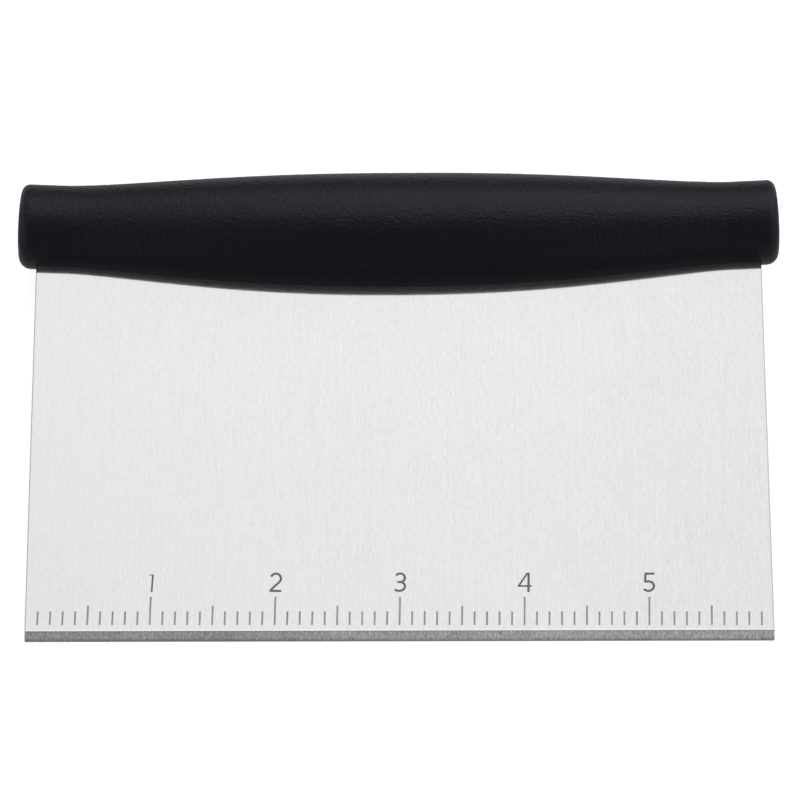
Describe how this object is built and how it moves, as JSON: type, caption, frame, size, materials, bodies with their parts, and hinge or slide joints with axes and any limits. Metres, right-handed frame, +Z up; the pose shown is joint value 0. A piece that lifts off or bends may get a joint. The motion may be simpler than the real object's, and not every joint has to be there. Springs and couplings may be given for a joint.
{
  "type": "bench scraper",
  "caption": "Flat steel dough scraper blade with an engraved inch ruler along its bevelled cutting edge and a soft barrel grip over its top edge.",
  "frame": {"origin": "centre of the bounding box's bottom face, on the bench that the tool lies on", "axes": "+X along the cutting edge, from the zero end of the ruler to its six-inch end; +Y from the cutting edge towards the grip; +Z up from the bench. The tool lies on its back, so the blade rises by 6.76 degrees from its edge to the grip"},
  "size_m": [0.16, 0.1057, 0.0251],
  "materials": {
    "blade_steel": "satin stainless, brushed up and down the blade",
    "core_plastic": "as moulded, hidden",
    "pin_steel": "plain, hidden",
    "grip_rubber": "soft, finely pebbled blue-black"
  },
  "bodies": {
    "root": {"blade": "blade_steel", "core_front_half": "core_plastic", "core_rear_half": "core_plastic", "tang_pin_1": "pin_steel", "tang_pin_2": "pin_steel", "tang_pin_3": "pin_steel", "tang_pin_4": "pin_steel", "grip_sleeve": "grip_rubber"}
  },
  "joints": []
}
